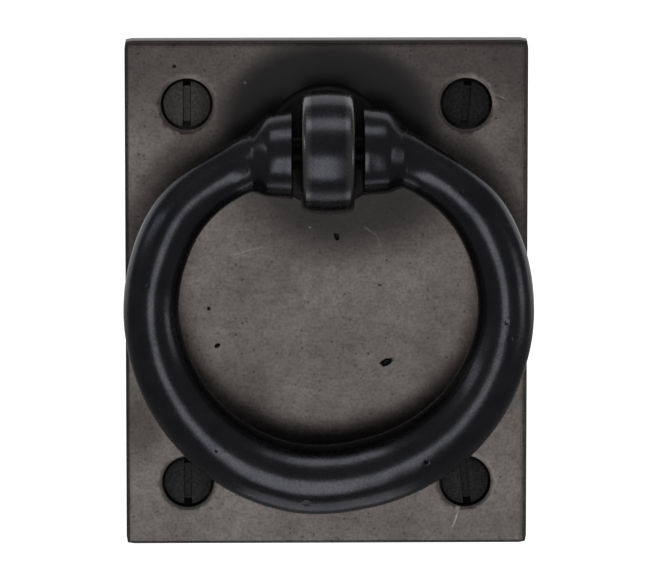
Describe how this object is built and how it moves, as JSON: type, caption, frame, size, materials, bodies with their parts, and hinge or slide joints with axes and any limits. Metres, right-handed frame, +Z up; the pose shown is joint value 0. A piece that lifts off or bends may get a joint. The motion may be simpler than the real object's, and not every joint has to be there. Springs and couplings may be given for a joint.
{
  "type": "ring pull handle",
  "caption": "Ring pull for a drawer or cabinet door: a heavy ring with flared collars swings on a pin through an eye lug riveted to a flat screw-on plate.",
  "frame": {"origin": "middle of the plate's back face, which lies against the drawer or door front", "axes": "+Z up with the ring hanging down, +Y out of the plate's back into the wood, so the front faces -Y and +X is to the right seen from the front"},
  "size_m": [0.0614, 0.0377, 0.076],
  "materials": {
    "plate_bronze": "cast bronze, dark patina rubbed back to a satin grey-brown",
    "dark_bronze": "cast bronze, waxed blue-black patina, semi-gloss",
    "pin_steel": "plain turned steel",
    "black_screw_steel": "blackened steel, matte"
  },
  "bodies": {
    "plate": {"back_plate": "plate_bronze", "ring_lug": "dark_bronze", "plate_screws": "black_screw_steel"},
    "ring": {"pull_ring": "dark_bronze", "pivot_pin": "pin_steel"}
  },
  "joints": [
    {"name": "ring_swing", "type": "hinge", "parent": "plate", "child": "ring", "pos_m": [0, -0.0134, 0.0224], "axis": [-1, 0, 0], "range_deg": [-4.6, 189]}
  ]
}
